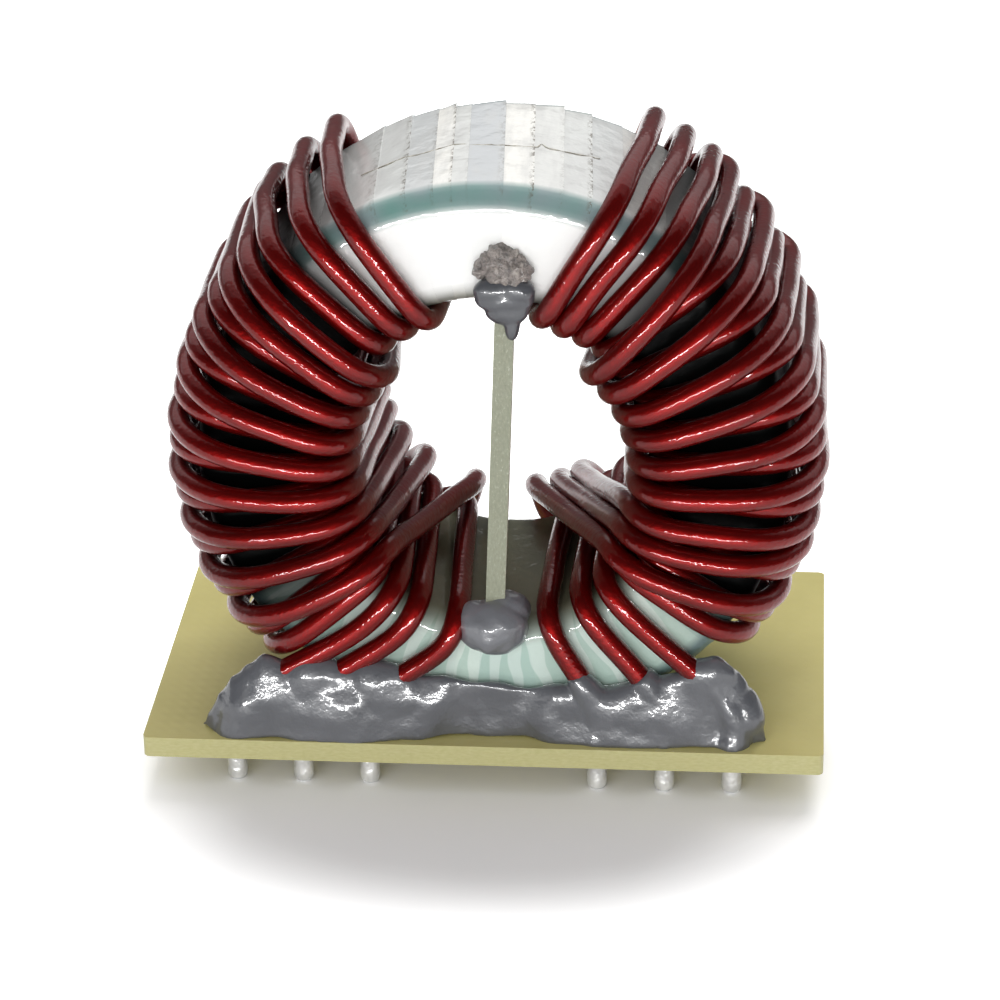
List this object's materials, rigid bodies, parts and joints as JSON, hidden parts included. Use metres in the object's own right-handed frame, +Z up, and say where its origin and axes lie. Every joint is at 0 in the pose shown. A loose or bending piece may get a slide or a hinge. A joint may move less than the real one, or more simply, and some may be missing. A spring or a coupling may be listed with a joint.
{
  "type": "toroidal inductor",
  "caption": "Upright toroidal choke with two windings of thick red enamelled wire on a taped ring core, glued to a small board with pins.",
  "frame": {"origin": "centre of the board's underside, midway between the pin rows, which is the face that seats on the host board", "axes": "+X along the board to the right, +Y to the rear along the ring's axis, +Z up; the pins point to -Z"},
  "size_m": [0.0513, 0.0296, 0.0478],
  "materials": {
    "board": "satin glass-epoxy board",
    "core": "satin coating over ferrite",
    "tape": "glossy translucent tape",
    "divider": "glass-epoxy strip with rough sawn edges",
    "wire": "glossy enamel over copper, tinned at the ends",
    "adhesive": "glossy grey adhesive"
  },
  "bodies": {
    "root": {"base_board": "board", "core": "core", "core_tape": "tape", "divider": "divider", "left_wire_1": "wire", "left_wire_2": "wire", "left_wire_3": "wire", "right_wire_1": "wire", "right_wire_2": "wire", "right_wire_3": "wire", "front_adhesive": "adhesive", "rear_adhesive": "adhesive", "divider_top_adhesive": "adhesive", "divider_foot_adhesive": "adhesive"}
  },
  "joints": []
}
